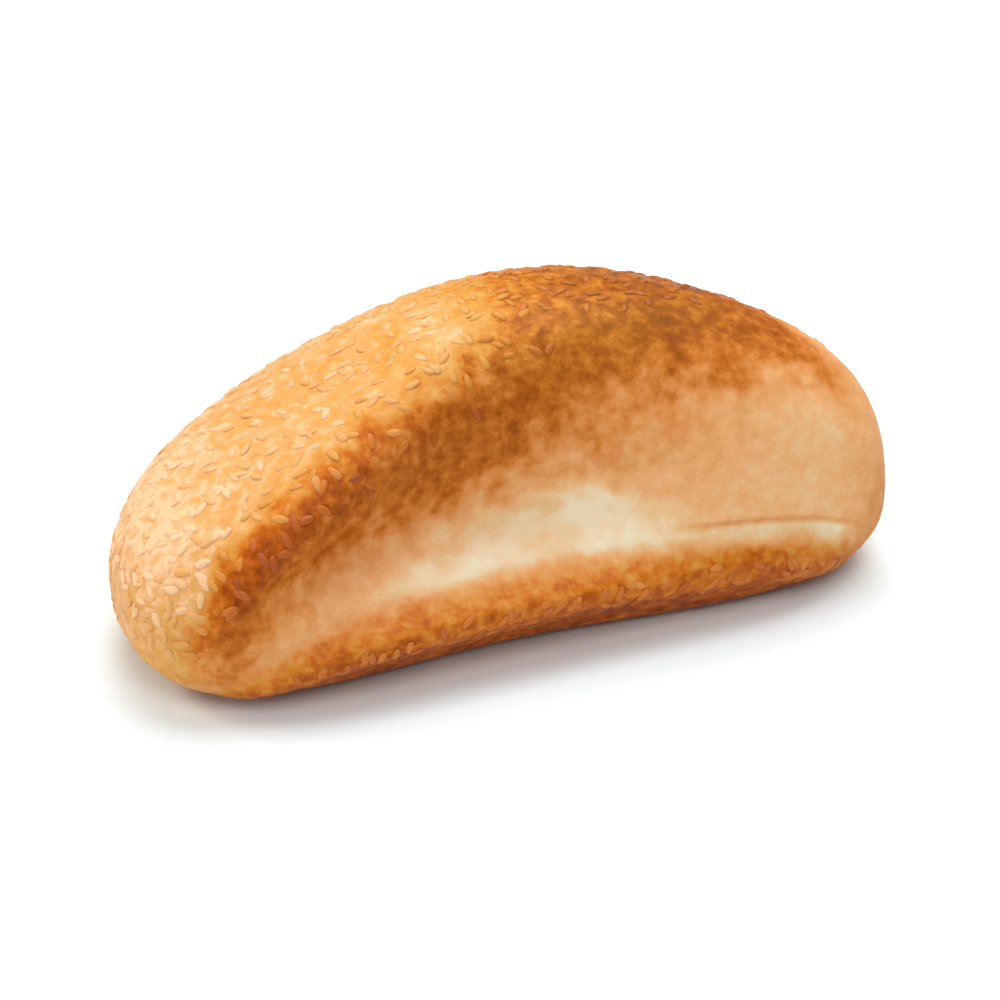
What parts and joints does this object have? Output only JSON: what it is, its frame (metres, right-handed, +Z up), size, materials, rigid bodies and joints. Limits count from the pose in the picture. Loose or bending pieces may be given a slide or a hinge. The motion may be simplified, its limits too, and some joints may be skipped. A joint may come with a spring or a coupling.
{
  "type": "sesame mini baguette",
  "caption": "Short plump bread roll, gently curved, slashed along its front so that the crust opens over a browned lip, with sesame seeds on the crust.",
  "frame": {"origin": "on the table, under the centre of the loaf's bounding box", "axes": "+X along the loaf towards its smooth end, +Z up, and the slash faces -Y"},
  "size_m": [0.141, 0.0718, 0.0559],
  "materials": {
    "crust": "baked bread crust, golden to dark brown, satin, scattered with toasted sesame seeds, pale and smooth where the slash opened"
  },
  "bodies": {
    "root": {"loaf": "crust"}
  },
  "joints": []
}
